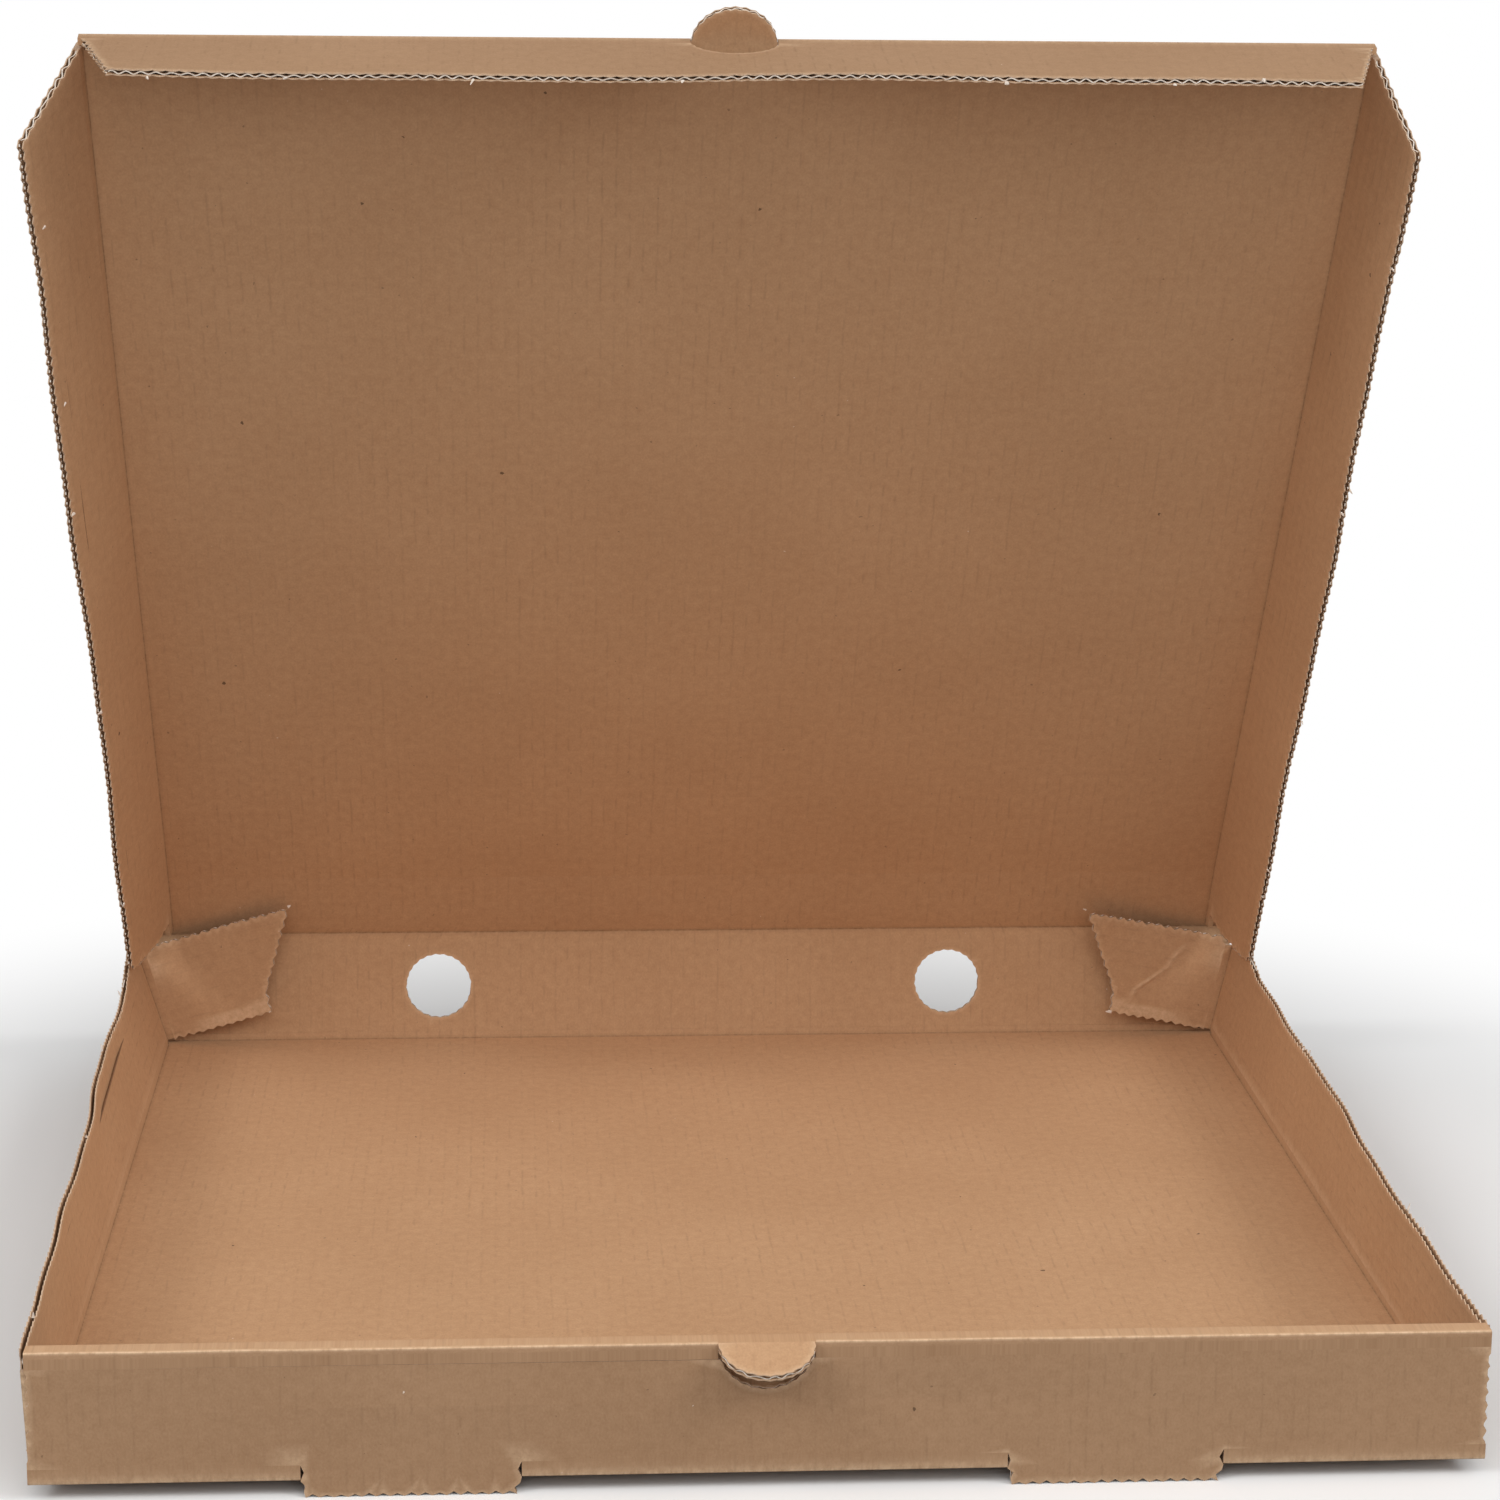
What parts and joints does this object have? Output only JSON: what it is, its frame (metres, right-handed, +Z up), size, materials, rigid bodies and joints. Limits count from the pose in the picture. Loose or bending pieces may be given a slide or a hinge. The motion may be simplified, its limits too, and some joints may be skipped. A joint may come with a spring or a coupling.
{
  "type": "pizza box",
  "caption": "Open folding box of corrugated board with a shallow square tray, a hinged lid with tuck-in flaps, thumb tabs and round vents.",
  "frame": {"origin": "middle of the underside of the base; the feet reach 3.6 mm below it", "axes": "+X across the box to the viewer's right, +Y from the front wall to the rear wall, +Z up"},
  "size_m": [0.315, 0.3137, 0.2961],
  "materials": {
    "kraft_board": "plain brown kraft liner, matt, with faint flute lines"
  },
  "bodies": {
    "tray": {"tray": "kraft_board"},
    "lid": {"lid": "kraft_board"},
    "lid_front_flap": {"lid_front_flap": "kraft_board"},
    "lid_left_flap": {"lid_left_flap": "kraft_board"},
    "lid_right_flap": {"lid_right_flap": "kraft_board"},
    "left_corner_flap": {"left_corner_flap": "kraft_board"},
    "right_corner_flap": {"right_corner_flap": "kraft_board"}
  },
  "joints": [
    {"name": "lid_hinge", "type": "hinge", "parent": "tray", "child": "lid", "pos_m": [0, 0.153, 0.032], "axis": [-1, 0, 0], "range_deg": [-58, 120]},
    {"name": "lid_front_flap_fold", "type": "hinge", "parent": "lid", "child": "lid_front_flap", "pos_m": [0, -0.00402, 0.28328], "axis": [-1, 0, 0], "range_deg": [-30.01, 62.08]},
    {"name": "lid_left_flap_fold", "type": "hinge", "parent": "lid", "child": "lid_left_flap", "pos_m": [-0.147, 0.153, 0.032], "axis": [0, 0.5299, -0.848], "range_deg": [-30.01, 62.08]},
    {"name": "lid_right_flap_fold", "type": "hinge", "parent": "lid", "child": "lid_right_flap", "pos_m": [0.147, 0.153, 0.032], "axis": [0, -0.5299, 0.848], "range_deg": [-26.01, 53.8]},
    {"name": "left_corner_flap_fold", "type": "hinge", "parent": "tray", "child": "left_corner_flap", "pos_m": [-0.1485, 0.1482, 0.0018], "axis": [-0.1392, -0.9903, 0], "range_deg": [-16.51, 34.15]},
    {"name": "right_corner_flap_fold", "type": "hinge", "parent": "tray", "child": "right_corner_flap", "pos_m": [0.1485, 0.1482, 0.0018], "axis": [-0.1392, 0.9903, 0], "range_deg": [-12.01, 24.84]}
  ],
  "couplings": [
    {"joint": "lid_front_flap_fold", "follows": "lid_hinge", "ratio": 0.51724},
    {"joint": "lid_left_flap_fold", "follows": "lid_hinge", "ratio": 0.51724},
    {"joint": "lid_right_flap_fold", "follows": "lid_hinge", "ratio": 0.44828},
    {"joint": "left_corner_flap_fold", "follows": "lid_hinge", "ratio": 0.28448},
    {"joint": "right_corner_flap_fold", "follows": "lid_hinge", "ratio": 0.2069}
  ]
}
